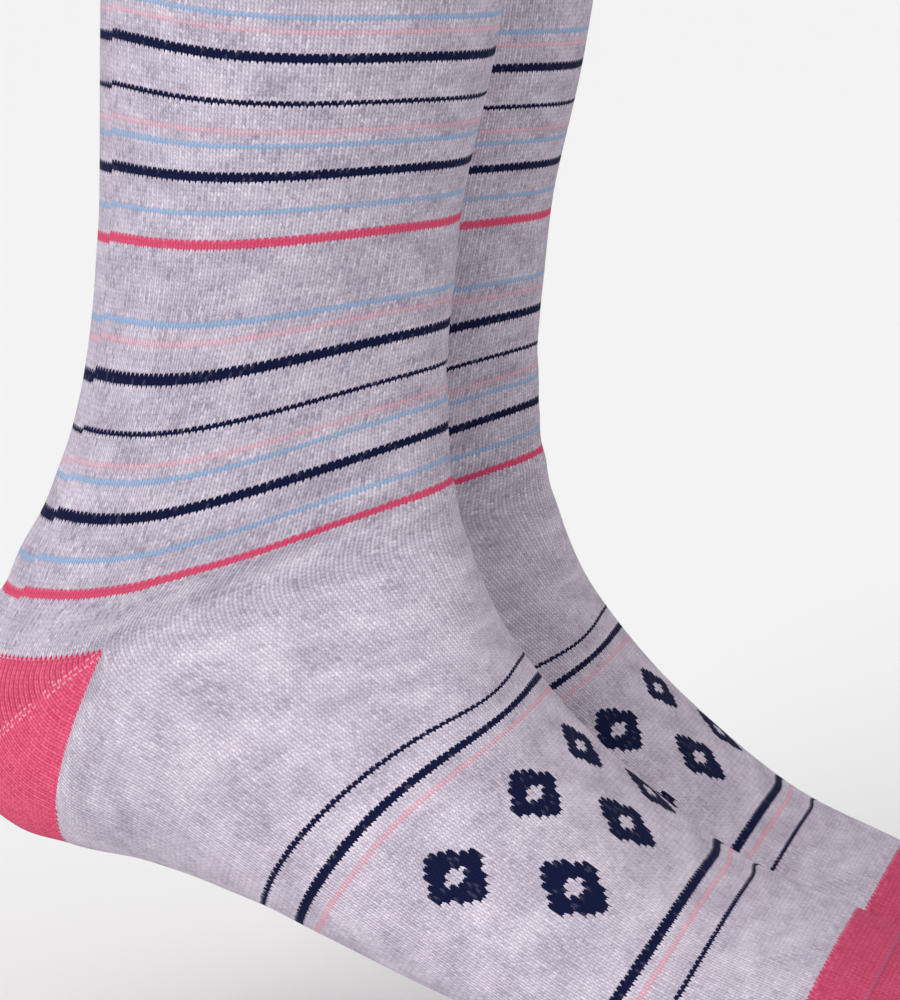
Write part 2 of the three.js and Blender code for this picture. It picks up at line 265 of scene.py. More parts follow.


# %% [markdown]
# A filled sock isn't a smooth pipe. Where the foot bends up from the ankle the cloth is short of room and lies in
# soft folds across the front, and the sole and the back of the leg hold a few long shallow ones. Cloth simulation
# would need a foot to press against, which isn't part of the object, so each crease is listed one by one: its middle,
# how far it runs, how wide and deep it is and how it slants. No two are alike.

# %% Creases, listed one by one
CREASES = [
    # wale, round, half length in wales, half width in rounds, depth mm, slant in rounds a wale
    (12, 104, 17, 3.4, 0.55, 0.16),
    (16, 113, 22, 4.2, 0.8, 0.30),
    (9, 122, 15, 3.0, 0.6, 0.22),
    (21, 127, 20, 4.6, 0.7, 0.42),
    (6, 133, 13, 3.2, 0.75, 0.10),
    (24, 141, 18, 4.0, 0.55, 0.50),
    (10, 150, 14, 3.6, 0.5, 0.05),
    (-13, 108, 19, 3.8, 0.6, -0.20),
    (-18, 118, 16, 3.2, 0.75, -0.33),
    (-8, 129, 18, 4.4, 0.65, -0.15),
    (-24, 136, 21, 3.9, 0.6, -0.45),
    (-12, 147, 15, 3.3, 0.5, -0.10),
    (88, 120, 20, 5.0, 0.5, 0.05),
    (78, 133, 17, 4.2, 0.6, -0.08),
    (92, 108, 14, 4.8, 0.35, 0.10),
    (60, 158, 13, 5.5, 0.4, 0.30),
    (108, 163, 15, 5.0, 0.45, -0.25),
    (82, 196, 20, 6.0, 0.4, 0.06),
    (70, 232, 16, 5.5, 0.35, -0.10),
    (30, 60, 24, 7.0, 0.3, 0.05),
    (-34, 42, 20, 8.0, 0.3, -0.06),
    (96, 66, 22, 7.5, 0.3, 0.04),
]
RIDGE_HEIGHT, RIDGE_BELOW = 0.55, 1.5  # shares of a crease's depth and half width
SHIN_WALES, SHIN_CALM = 12, 0.6  # over the shin the cloth is drawn flat


def relief(wale, turn):
    """How far the cloth stands out, mm: each crease is a trough with a lower ridge below it."""
    out = np.zeros(np.broadcast(wale, turn).shape)
    for at_wale, at_round, length, width, depth, slant in CREASES:
        along = (wale - at_wale + HALF) % WALES - HALF
        beside = (turn - at_round - slant * along) / width
        fade = np.exp(-((along / length) ** 2))
        out += depth * fade * (RIDGE_HEIGHT * np.exp(-((beside - RIDGE_BELOW) ** 2)) - np.exp(-(beside**2)))
    from_shin = (wale + HALF) % WALES - HALF
    return out * (1 - SHIN_CALM * np.exp(-((from_shin / SHIN_WALES) ** 2)))


deepest = relief(np.arange(WALES)[:, None], np.arange(TOE_START - HEEL_COURSES)[None]).min()
print("creases:", len(CREASES), "deepest", deepest.round(2), "mm")

# %% [markdown]
# Rounds don't lie quite level either. Over a calf and an ankle they wave a little, and beside a fold the cloth is
# pulled up or down. The map takes these shifts up, so every stripe and stitch follows them.

# %% How the rounds lie
PULLS = [
    # wale, round, half width in wales, half height in rounds, rounds that the knitting sits higher
    (62, 26, 20, 18, 1.3),
    (28, 134, 9, 5, -1.0),
    (11, 194, 9, 8, -2.8),
    (33, 202, 11, 10, 1.2),
    (61, 198, 10, 10, -1.4),
    (118, 60, 24, 26, 0.8),
    (100, 215, 16, 20, -0.9),
    (-12, 256, 5, 24, 1.4),
    (-11, 75, 9, 80, 1.1),
    (-8, 134, 8, 9, 1.2),
]
WAVES, WAVE_HEIGHT = 3, 0.7  # waves round the leg, and their height in rounds
CALM_FROM, CALM_OVER = 150, 30  # the waves fade out over 30 rounds, before the foot


def lie(wale, turn):
    """Round of the knitting that lies where a level round would be."""
    waves = 0.1 - WAVE_HEIGHT * np.cos(WAVES * (wale - QUARTER) * 2 * np.pi / WALES)
    out = turn + waves * np.clip((CALM_FROM - turn) / CALM_OVER, 0, 1)
    for at_wale, at_round, wide, tall, higher in PULLS:
        along = (wale - at_wale + HALF) % WALES - HALF
        out = out + higher * np.exp(-((along / wide) ** 2) - ((turn - at_round) / tall) ** 2)
    return out


print("a level round waves by", np.ptp(lie(np.arange(WALES), 40.0)).round(1), "rounds")


# %% Skins from grids
OUTER_SHARE, INNER_SHARE = 0.80, 0.18  # of the baked map's height, for the two faces; the rim lies between them
RIM_LOW, RIM_HIGH = 0.004, 0.012
FAR = 99.0  # mm, stands for anywhere away from a seam


def padded(share):
    """Keeps what is baked a little inside the border of its map."""
    return 0.005 + 0.99 * share


def grid_faces(ids, wale, turn, closed=False):
    """Faces of a grid of vertex numbers, and each corner's wale and round. Corners that coincide are merged."""
    rows, columns = ids.shape
    wrapped = np.hstack([ids, ids[:, :1]]) if closed else ids
    faces, corners = [], []
    for i in range(rows - 1):
        for j in range(wrapped.shape[1] - 1):
            face, marks = [], []
            for a, b in ((i, j), (i, j + 1), (i + 1, j + 1), (i + 1, j)):
                if wrapped[a, b] not in face:
                    face.append(int(wrapped[a, b]))
                    marks.append((wale[b], turn[a, min(b, turn.shape[1] - 1)]))
            faces.append(face)
            corners.append(marks)
    return faces, corners


def skin(name, outer, inner, faces, knit, bake, joins=None):
    """A thin closed shell: outer face, inner face and rim. Each map gives two numbers for each corner."""
    count = len(outer)
    edges = {(f[k], f[(k + 1) % len(f)]) for f in faces for k in range(len(f))}
    open_edges = [(a, b) for a, b in edges if (b, a) not in edges]
    rims = [(b, a, a + count, b + count) for a, b in open_edges]
    inside = [[v + count for v in reversed(f)] for f in faces]
    mesh = bpy.data.meshes.new(name)
    mesh.from_pydata(np.vstack([outer, inner]).tolist(), [], [*faces, *inside, *rims])

    def on_both(corners):
        """A map for both faces and the rim, from its numbers at the corners of one face."""
        at_vertex = {v: mark for f, marks in zip(faces, corners) for v, mark in zip(f, marks)}
        rim_marks = [[at_vertex[v % count] for v in rim] for rim in rims]
        return [*corners, *[m[::-1] for m in corners], *rim_marks]

    maps = {"knit": on_both(knit)}
    outer_bake = [[(x, y * OUTER_SHARE) for x, y in m] for m in bake]
    inner_bake = [[(x, 1 - y * INNER_SHARE) for x, y in m[::-1]] for m in bake]
    across = {v: x for f, m in zip(faces, bake) for v, (x, _) in zip(f, m)}
    rim_bake = [
        [(across[v % count], OUTER_SHARE + (RIM_LOW if v < count else RIM_HIGH)) for v in rim] for rim in rims
    ]
    maps["OFBake"] = [*outer_bake, *inner_bake, *rim_bake]
    if joins:
        maps["joins"] = on_both(joins)
    for label, marks in maps.items():
        layer = mesh.uv_layers.new(name=label)
        layer.data.foreach_set("uv", np.array([n for m in marks for mark in m for n in mark], np.float32))
    mesh.uv_layers["OFBake"].active_render = True
    mesh.polygons.foreach_set("use_smooth", [True] * len(mesh.polygons))
    mesh.validate()
    mesh.set_sharp_from_angle(angle=np.radians(60))
    piece = bpy.data.objects.new(name, mesh)
    bpy.context.scene.collection.objects.link(piece)
    print(name, "triangles:", sum(len(p.vertices) - 2 for p in mesh.polygons))
    return piece


def lifted(outer, inner, height):
    """Moves both faces out by height mm, along the line from the inner face to the outer one."""
    way = outer - inner
    way /= np.linalg.norm(way, axis=-1, keepdims=True)
    return outer + way * height[..., None] * MM, inner + way * height[..., None] * MM


# %% [markdown]
# The leg and the foot are one piece of knitting. At the heel the back half of the needles works alone, so the front
# half of the leg's last course and of the foot's first course are the same loops: those vertices are shared, and the
# back half leaves the hole that the heel pocket fills.


# %% The leg and foot
def leg_and_foot(side):
    leg, foot = rows_between(0, HEEL_START), rows_between(FOOT_START, TOE_START)
    courses = np.concatenate([leg, foot])
    angles = tube_angles(courses)
    both = [in_room(tube(courses[:, None], angles, inset), *PLACES[side]) for inset in (0, WALL)]
    wale = np.arange(-QUARTER, WALES - QUARTER + 1)
    turn = skip_heel(courses)
    outer, inner = lifted(*both, relief(wale[None, :-1], turn[:, None]))
    ids = np.arange(courses.size * WALES).reshape(courses.size, WALES)
    ids[len(leg), : HALF + 1] = ids[len(leg) - 1, : HALF + 1]
    faces, knit = [], []
    for rows in (slice(0, len(leg)), slice(len(leg), None)):
        more, marks = grid_faces(ids[rows], wale, np.repeat(turn[rows, None], WALES, 1), closed=True)
        faces, knit = faces + more, knit + marks
    last = turn[-1]
    bake = [[(padded((w + QUARTER) / WALES), padded(t / last)) for w, t in m] for m in knit]
    knit = [[(w, float(lie(w, t))) for w, t in m] for m in knit]
    used = np.unique([v for f in faces for v in f])
    renumber = {int(v): k for k, v in enumerate(used)}
    faces = [[renumber[v] for v in f] for f in faces]
    outer, inner = outer.reshape(-1, 3)[used], inner.reshape(-1, 3)[used]
    return skin(f"{side}_leg_and_foot_knit", outer, inner, faces, knit, bake)


# %% [markdown]
# The heel pocket is knitted back and forth in rows that first get shorter and then longer again. Where the short rows
# end, a diagonal gore line runs from each corner of the pocket. Above it the rows lie level, and below it they lie
# along the foot's edge, so the map counts rounds from the nearer edge and the stitches turn at the gore line.


# %% The heel pocket
PAST_GORE = 200  # added to the rounds past the gore line, so that their noise is another stretch


def lengths_along(points):
    """Length in mm along the first axis of a grid of points, from its first row."""
    steps = np.linalg.norm(np.diff(points, axis=0), axis=-1) / MM
    return np.vstack([np.zeros((1, points.shape[1])), np.cumsum(steps, axis=0)])


def pocket_maps(ids, wale, length, first, seam_distance=None):
    """Faces and maps of a pocket: rows counted from its nearer edge, and distances from gore line and seam."""
    middle = len(ids) // 2
    total = length[-1]
    gore = length - length[middle]
    seam = np.full_like(length, FAR) if seam_distance is None else seam_distance
    faces, knit, joins = [], [], []
    for rows, rounds in (
        (slice(0, middle + 1), first + length),
        (slice(middle, None), first + PAST_GORE - (total - length)),
    ):
        more, marks = grid_faces(ids[rows], wale, rounds[rows])
        _, across = grid_faces(ids[rows], wale, gore[rows])
        _, away = grid_faces(ids[rows], wale, seam[rows])
        faces, knit = faces + more, knit + marks
        joins += [[(g, s) for (_, g), (_, s) in zip(a, b)] for a, b in zip(across, away)]
    return faces, knit, joins


def row_marks(ids, wale):
    """Column and row, from 0 to 1, at the corners of a pocket's faces, in the order of pocket_maps."""
    middle = len(ids) // 2
    share = np.repeat(np.linspace(0, 1, len(ids))[:, None], ids.shape[1], 1)
    marks = grid_faces(ids[: middle + 1], wale, share[: middle + 1])[1]
    marks += grid_faces(ids[middle:], wale, share[middle:])[1]
    return [[(padded((w - wale[0]) / (wale[-1] - wale[0])), s) for w, s in m] for m in marks]


def heel(side):
    courses = rows_between(HEEL_START, FOOT_START)
    angles = even_angles(heel_pocket, courses, 0, np.pi, HALF)
    outer, inner = (in_room(heel_pocket(courses[:, None], angles, i), *PLACES[side]) for i in (0, WALL))
    ids = np.arange(outer.shape[0] * outer.shape[1]).reshape(outer.shape[:2])
    ids[:, 0], ids[:, -1] = ids[0, 0], ids[0, -1]
    wale = np.arange(QUARTER, QUARTER + HALF + 1)
    length = lengths_along(outer)
    faces, knit, joins = pocket_maps(ids, wale, length, HEEL_START)
    share = np.linspace(0, 1, len(courses))[:, None]
    meet = relief(wale[None], np.full_like(length, HEEL_START))
    outer, inner = lifted(outer, inner, meet * (1 - share) ** 2 + meet * share**2)
    bake = [[(x, padded(s)) for x, s in m] for m in row_marks(ids, wale)]
    return skin(f"{side}_heel_knit", outer.reshape(-1, 3), inner.reshape(-1, 3), faces, knit, bake, joins)


# %% [markdown]
# The toe starts with nine plain rounds. Then the sole half goes on alone as a pocket like the heel's, folds over the
# toes and is linked to the top half, which leaves a fine raised seam across the top of the foot.

# %% The toe pocket
SEAM_RAISE, SEAM_WIDTH, CORNER_RUN = 0.4, 0.5, 6  # mm, mm, and the wales over which it runs out
SEAM_REACH = 20  # courses beside the seam that know how far off it is
NEAR_SEAM = np.array([3, 2.2, 1.5, 0.9, 0.4, 0])  # courses before the seam, close together so that it can rise
RING_TOP, FOLD_FOOT, FOLD_SHARE = 0.16, 0.18, 0.81  # where the rounds end, and the fold starts, in the baked map


def seam_lift(away, from_middle):
    """How far the linked seam stands up. It runs out at the toe's two corners."""
    corner = np.clip((QUARTER - np.abs(from_middle)) / CORNER_RUN, 0, 1)
    return SEAM_RAISE * np.exp(-((away / SEAM_WIDTH) ** 2)) * corner[None]


def toe_ring(place):
    """The plain rounds: their two faces and vertex numbers, then faces and maps."""
    courses = np.concatenate([rows_between(TOE_START, TOE_SEAM - 4, 1), TOE_SEAM - NEAR_SEAM])
    angles = tube_angles(courses)
    both = [in_room(tube(courses[:, None], angles, inset), *place) for inset in (0, WALL)]
    wale = np.arange(-QUARTER, WALES - QUARTER + 1)
    away = (TOE_SEAM - courses)[:, None] + np.where(np.abs(wale[None, :-1]) <= QUARTER, 0, FAR)
    ids = np.arange(courses.size * WALES).reshape(-1, WALES)
    turns = np.repeat(skip_heel(courses)[:, None], WALES, 1)
    faces, knit = grid_faces(ids, wale, turns, closed=True)
    joins = [[(FAR, t) for _, t in m] for m in grid_faces(ids, wale, away, closed=True)[1]]
    start, rounds = turns[0, 0], TOE_SEAM - TOE_START
    bake = [[(padded((w + QUARTER) / WALES), RING_TOP * (t - start) / rounds) for w, t in m] for m in knit]
    return lifted(*both, seam_lift(away, wale[:-1])), ids, faces, knit, bake, joins


def toe_fold(place, ring_ids):
    """The pocket, which starts at the last round of the ring and ends there."""
    courses = np.concatenate([rows_between(TOE_SEAM, TOE_END - 4), TOE_END - NEAR_SEAM])
    angles = even_angles(toe_pocket, courses, 0, np.pi, HALF)
    both = [in_room(toe_pocket(courses[:, None], angles, inset), *place) for inset in (0, WALL)]
    wale = np.arange(QUARTER, QUARTER + HALF + 1)
    length = lengths_along(both[0])
    away = np.where(courses[:, None] > TOE_END - SEAM_REACH, length[-1] - length, FAR)
    seam = ring_ids[-1]
    ids = ring_ids.size + np.arange(courses.size * (HALF + 1)).reshape(-1, HALF + 1)
    ids[0] = np.roll(seam, -HALF)[: HALF + 1]
    ids[-1] = seam[: HALF + 1][::-1]
    ids[:, 0], ids[:, -1] = seam[HALF], seam[0]
    faces, knit, joins = pocket_maps(ids, wale, length, TOE_SEAM - HEEL_COURSES, away)
    bake = [[(x, FOLD_FOOT + FOLD_SHARE * s) for x, s in m] for m in row_marks(ids, wale)]
    return lifted(*both, seam_lift(away, wale - HALF)), faces, knit, bake, joins


def toe(side):
    ring, ring_ids, *ring_mesh = toe_ring(PLACES[side])
    fold, *fold_mesh = toe_fold(PLACES[side], ring_ids)
    faces, knit, bake, joins = (first + second for first, second in zip(ring_mesh, fold_mesh))
    outer, inner = (np.vstack([r.reshape(-1, 3), f.reshape(-1, 3)]) for r, f in zip(ring, fold))
    return skin(f"{side}_toe_knit", outer, inner, faces, knit, bake, joins)


# %% [markdown]
# The cuff is knitted two and two: a pair of plain wales stands up, and a pair of purl wales sinks between. A wave
# in the outer face makes the 36 ribs, and the top folds over in a soft round lip because the cloth is doubled.

# %% The ribbed cuff
RIB_COLUMNS, RIB_WALES, RIB_SQUARE = 12, 4, 2.2  # columns and wales of a rib, and how square it is
LIP, LIP_ROWS, CUFF_STEP = 1.1, 6, 1.6  # mm that the lip rounds off, its rows, and the rows' spacing below it


def cuff(side):
    columns = RIBS * RIB_COLUMNS
    angles = np.arange(columns) * 2 * np.pi / columns
    phase = 2 * np.pi * (np.arange(columns) / RIB_COLUMNS - 1 / 8)
    rib = RIB_RAISE * (0.5 + 0.5 * np.tanh(RIB_SQUARE * np.cos(phase)) / np.tanh(RIB_SQUARE))
    below = rows_between(-CUFF_HEIGHT + LIP, 0, CUFF_STEP)
    # The lip: from the middle of the wall at the top, round to the outer face, and to the inner face too.
    lip_curl = np.linspace(0, np.pi / 2, LIP_ROWS, endpoint=False)
    courses = np.concatenate([-CUFF_HEIGHT + LIP * (1 - np.cos(lip_curl)), below])
    curl = np.concatenate([lip_curl, np.full(len(below), np.pi / 2)])
    middle = (CUFF_WALL - RIB_RAISE - rib) / 2
    half_wall = (CUFF_WALL - RIB_RAISE + rib) / 2
    skins = []
    for sign in (-1, 1):
        inset = middle[None] + sign * half_wall[None] * np.sin(curl)[:, None]
        skins.append(in_room(tube(courses[:, None], angles[None], inset), *PLACES[side]))
    outer, inner = skins
    ids = np.arange(courses.size * columns).reshape(-1, columns)
    wale = np.arange(columns + 1) * RIB_WALES / RIB_COLUMNS
    turns = np.repeat(courses[:, None], columns, 1)
    faces, knit = grid_faces(ids, wale, turns, closed=True)
    around, tall = RIB_WALES * RIBS, CUFF_HEIGHT
    bake = [[(padded(w / around), padded((t + tall) / tall)) for w, t in m] for m in knit]
    return skin(f"{side}_cuff_knit", outer.reshape(-1, 3), inner.reshape(-1, 3), faces, knit, bake)


# %% [markdown]
# Shader maths reads as Python here. A small class wraps a socket that carries a number, and each operator on it adds
# the Math node that does the same.


# %% A number in a shader
class Value:
    def __init__(self, finish, socket):
        self.finish, self.socket = finish, socket

    def maths(self, operation, *rest):
        inputs = dict(zip(("Value", "Value_001", "Value_002"), (self, *rest)))
        return self.finish.node("ShaderNodeMath", {"operation": operation}, inputs)

    def __add__(self, other):
        return self.maths("ADD", other)

    def __sub__(self, other):
        return self.maths("SUBTRACT", other)

    def __rsub__(self, other):
        return self.maths("MULTIPLY_ADD", -1, other)

    def __mul__(self, other):
        return self.maths("MULTIPLY", other)

    def __truediv__(self, other):
        return self.maths("DIVIDE", other)

    def __mod__(self, other):
        return self.maths("FLOORED_MODULO", other)

    def __pow__(self, other):
        return self.maths("POWER", other)

    def __abs__(self):
        return self.maths("ABSOLUTE")

    def __lt__(self, other):
        return self.maths("LESS_THAN", other)

    def __gt__(self, other):
        return self.maths("GREATER_THAN", other)

    def __and__(self, other):
        return self.maths("MULTIPLY", other)

    def __or__(self, other):
        return self.maths("MAXIMUM", other)

    __radd__, __rmul__ = __add__, __mul__

    def floor(self):
        return self.maths("FLOOR")

    def near(self, centre, within):
        return self.maths("COMPARE", centre, within)


# %% A material in the making
class Finish:
    def __init__(self, name):
        self.material = bpy.data.materials.new(name)
        self.material.use_nodes = True
        self.tree = self.material.node_tree
        self.tree.nodes.clear()

    def node(self, kind, settings, inputs, output=None):
        """Adds a node: its settings first, then the values or links of its sockets by identifier."""
        node = self.tree.nodes.new(kind)
        for key, value in settings.items():
            setattr(node, key, value)
        for socket in node.inputs:
            if socket.identifier not in inputs:
                continue
            value = inputs[socket.identifier]
            if isinstance(value, Value):
                self.tree.links.new(value.socket, socket)
            else:
                socket.default_value = value
        sockets = {s.identifier: s for s in node.outputs}
        return Value(self, sockets[output] if output else (node.outputs[0] if sockets else None))

    def mix(self, factor, first, second):
        """A colour between two, by a factor from 0 to 1."""
        inputs = {"Factor_Float": factor, "A_Color": first, "B_Color": second}
        return self.node("ShaderNodeMix", {"data_type": "RGBA"}, inputs, "Result_Color")

    def shade(self, colour, factor):
        """A colour made darker or lighter by a number."""
        inputs = {"Vector": colour, "Scale": factor}
        return self.node("ShaderNodeVectorMath", {"operation": "SCALE"}, inputs, "Vector")

    def vector(self, x, y, z=0.0):
        return self.node("ShaderNodeCombineXYZ", {}, {"X": x, "Y": y, "Z": z})

    def noise(self, vector, scale, detail=2.0, rough=0.5):
        inputs = {"Vector": vector, "Scale": scale, "Detail": detail, "Roughness": rough}
        return self.node("ShaderNodeTexNoise", {}, inputs, "Fac")

    def chance(self, x, y):
        """A number from 0 to 1 for each whole x and y."""
        inputs = {"Vector": self.vector(x, y)}
        return self.node("ShaderNodeTexWhiteNoise", {"noise_dimensions": "2D"}, inputs, "Value")

    def pair(self, map_name):
        """The two numbers of a map."""
        vector = self.node("ShaderNodeUVMap", {"uv_map": map_name}, {})
        return [self.node("ShaderNodeSeparateXYZ", {}, {"Vector": vector}, axis) for axis in "XY"]


def linear(red, green, blue):
    """A colour as a screen shows it, 0 to 255, turned to the light it stands for."""
    parts = [c / 255 for c in (red, green, blue)]
    return (*[c / 12.92 if c <= 0.04045 else ((c + 0.055) / 1.055) ** 2.4 for c in parts], 1.0)


# %% [markdown]
# One plain stitch is a V: two legs of yarn that meet in the middle of the wale. In knitting as fine as this each leg
# shows as a narrow column of its own, and the twist of the yarn makes all of them lean the same way. A leg's height
# rises and falls across it, and each course dips under the next. Everything that varies from stitch to stitch comes
# from here, so the stripes get the fine zigzag edge that knitting gives them.

# %% Stitches
ZIGZAG, WANDER = 0.9, 0.5  # rounds that a course reaches down at the edges of a wale, and that it strays
JOG_WALE, JOG = 66, 0.7  # one round ends and the next begins here, beside the back of the leg, this much higher
LEG_FOOT, LEG_LEAN, LEG_THIN = 0.28, 0.44, 1.9  # where a leg starts in its column, how far it leans, how thin it is
LEG_BASE = 0.45  # share of its height that a leg keeps where it dips


def stitches(finish, spiral=True):
    """Wale, round, course, height of the yarn from 0 to 1, and a number for each leg of a stitch."""
    wale, turn = finish.pair("knit")
    if spiral:
        turn = turn + (((wale - JOG_WALE) / WALES) % 1.0 - 0.5) * JOG
    wander = finish.noise(finish.vector(wale * 1.3, turn * 0.6), 1.0, 1.0) - 0.5
    across = (wale * 2) % 1.0
    # Each wale has a tall tooth at its edge and a lower one in its middle.
    fold = (abs((wale % 1.0) * 2 - 1) + abs(across * 2 - 1)) * 0.5
    yarn = turn + (0.5 + ZIGZAG / 2) - fold * ZIGZAG + wander * WANDER
    course = yarn.floor()
    phase = yarn % 1.0
    leg = abs(across - (LEG_FOOT + phase * LEG_LEAN)) * LEG_THIN
    rope = (1 - leg**2).maths("MAXIMUM", 0.0)
    dip = (phase * np.pi).maths("SINE") ** 0.6
    height = rope * (LEG_BASE + dip * (1 - LEG_BASE))
    return wale, turn, course, height, finish.chance((wale * 2).floor(), course)


# %% [markdown]
# Heather yarn is spun from fibres that were dyed apart, white, lilac and grey, and no two lengths of it have the same
# share of each. It shows as soft clouds along the courses and as pale and dark specks from stitch to stitch. The
# clouds are noise in the room of the sock itself, round and round like the yarn, so that they have no seam.

# %% Heather
HEATHER_PALE, HEATHER_DARK = linear(234, 222, 237), linear(158, 147, 167)
ROUND_RADIUS, CLOUD_STRETCH = 37.0, 1.8  # mm, of a round, and how much shorter a cloud is along the sock
BROAD_CLOUDS, FINE_CLOUDS = 0.09, 0.75  # scales of the noise, a mm


def clouds(finish, wale, turn):
    angle = wale * (2 * np.pi / WALES)
    cosine, sine = angle.maths("COSINE"), angle.maths("SINE")
    around = finish.vector(cosine * ROUND_RADIUS, sine * ROUND_RADIUS, turn * CLOUD_STRETCH)
    return finish.noise(around, BROAD_CLOUDS, 3.0, 0.6), finish.noise(around, FINE_CLOUDS, 2.0, 0.65)


def grain_of(finish, wale, turn):
    """Noise a little coarser than the stitches."""
    return finish.noise(finish.vector(wale * 1.1, turn * 1.3), 1.6, 2.0, 0.7)


def painted_leg_shading(wale):
    """Painted light and shade: the two legs of a stitch face the light differently, so one is painted lighter (0.5) and
    the other darker (-0.5).
    """
    return (wale * 2).floor() % 2.0 - 0.5


def heather(finish, wale, turn, speck):
    """Colour of the heather, and its fine clouds."""
    broad, fine = clouds(finish, wale, turn)
    grain = grain_of(finish, wale, turn)
    flecks = (speck > 0.9) * 0.24 - (speck < 0.12) * 0.26
    # Painted light and shade: one leg of each stitch is painted lighter and the other darker. This goes into the mottle
    # along with the heather's own specks and clouds.
    turned = painted_leg_shading(wale) * 0.12
    fibres = finish.noise(finish.vector(wale * 3, turn * 3), 1.5, 1.0)
    mottle = (fine - 0.5) * 0.5 + (grain - 0.5) * 0.7 + (fibres - 0.5) * 0.9 + flecks + turned
    on_foot = turn > HEEL_START  # the foot is drawn smoother than the leg, and a little paler
    share = 0.54 + on_foot * 0.06 + (broad - 0.5) * 1.2 + mottle * (1 - on_foot * 0.3)
    return finish.mix(share, HEATHER_DARK, HEATHER_PALE), fine


STITCH_RELIEF, GRAIN_RELIEF = 0.15, 0.08  # mm
# Painted shade: these are the shares by which the gaps between the loops are painted darker.
HEATHER_GAP_SHADE, PINK_GAP_SHADE = 0.36, 0.42  # how much darker the gaps between the loops are


def knitted(finish, colour, height, grain, gap_shade=HEATHER_GAP_SHADE):
    """Closes a finish: yarn is matt and slightly furry, and painted shade darkens the gaps between its loops."""
    # Painted shade: the colour is darkest where the yarn is lowest, in the gaps between the loops.
    shown = finish.shade(colour, (1.04 - gap_shade) + height * gap_shade)
    relief_height = height * STITCH_RELIEF + grain * GRAIN_RELIEF
    bump = finish.node("ShaderNodeBump", {}, {"Strength": 1.0, "Distance": MM, "Height": relief_height}, "Normal")
    surface = {
        "Base Color": shown,
        "Roughness": 0.92,
        "Specular IOR Level": 0.08,
        "Normal": bump,
    }
    shader = finish.node("ShaderNodeBsdfPrincipled", {}, surface)
    finish.node("ShaderNodeOutputMaterial", {}, {"Surface": shader})
    return finish.material


# %% [markdown]
# The stripes follow a chart: which yarn starts at which round, and for how many rounds. The leg's chart repeats
# every 64 rounds. A single round of pale yarn between heather ones shows as a faint dotted line.

# %% Stripes
NAVY, HOT_PINK = linear(20, 26, 62), linear(226, 72, 112)
LIGHT_BLUE, PALE_PINK, BLUSH = linear(140, 180, 222), linear(240, 172, 186), linear(238, 158, 174)
# One hot pink yarn in two copies, lit and shaded: the heel's colours are painted lighter and the toe's are painted
# darker.
LIT_HEEL_PINKS = (linear(218, 70, 108), linear(252, 112, 146))
SHADED_TOE_PINKS = (linear(197, 64, 101), linear(228, 96, 133))
STRENGTH = {  # the pale yarns blend into the heather
    NAVY: 1.0,
    HOT_PINK: 0.95,
    LIGHT_BLUE: 0.8,
    PALE_PINK: 0.5,
    BLUSH: 0.6,
}
LEG_REPEAT = 64
LEG_CHART = [  # yarn, first round, rounds
    (HOT_PINK, 5, 2),
    (LIGHT_BLUE, 22, 1),
    (PALE_PINK, 25, 1),
    (NAVY, 30, 2),
    (NAVY, 40, 1),
    (PALE_PINK, 46, 1),
    (LIGHT_BLUE, 49, 1),
    (NAVY, 55, 2),
    (LIGHT_BLUE, 63, 1),
]
FOOT_CHART = [
    (NAVY, 193, 1),
    (NAVY, 200, 2),
    (BLUSH, 205, 1),
    (NAVY, 253, 2),
    (BLUSH, 257, 1),
    (NAVY, 263, 1),
]


def chart_masks(course, chart):
    """For each yarn of a chart, where its stripes are."""
    masks = {}
    for yarn, first, rounds in chart:
        band = course.near(first + (rounds - 1) / 2, rounds / 2)
        masks[yarn] = masks[yarn] | band if yarn in masks else band
    return masks


# %% [markdown]
# On top of the foot the knitting carries a motif in navy. Here it is plain lozenges in two staggered rows, stepped
# from stitch to stitch as charted knitting always is.

# %% Lozenges on the foot
LOZENGE_ROWS = [(220, 0), (237, 9)]  # middle round, and how many wales the row is shifted
LOZENGE_PITCH, LOZENGE_REACH = 18, 37  # wales, from one to the next, and from the middle of the foot to the last
LOZENGE_TALL, LOZENGE_WIDE, LOZENGE_HOLE = 7.5, 5.5, 0.3  # half height in rounds, half width in wales, share


def lozenges(wale, course):
    """Where the lozenges are. Each is shown or left out as a whole, so none is cut."""
    stitch = wale.floor() + 0.5
    shown = None
    for middle, shift in LOZENGE_ROWS:
        beside = (stitch + shift + LOZENGE_PITCH / 2) % LOZENGE_PITCH - LOZENGE_PITCH / 2
        size = abs(beside) / LOZENGE_WIDE + abs(course - middle) / LOZENGE_TALL
        row = (size < 1) & (size > LOZENGE_HOLE) & (abs(stitch - beside) < LOZENGE_REACH)
        shown = shown | row if shown else row
    return shown


TOE_EARLY = 1.5  # rounds


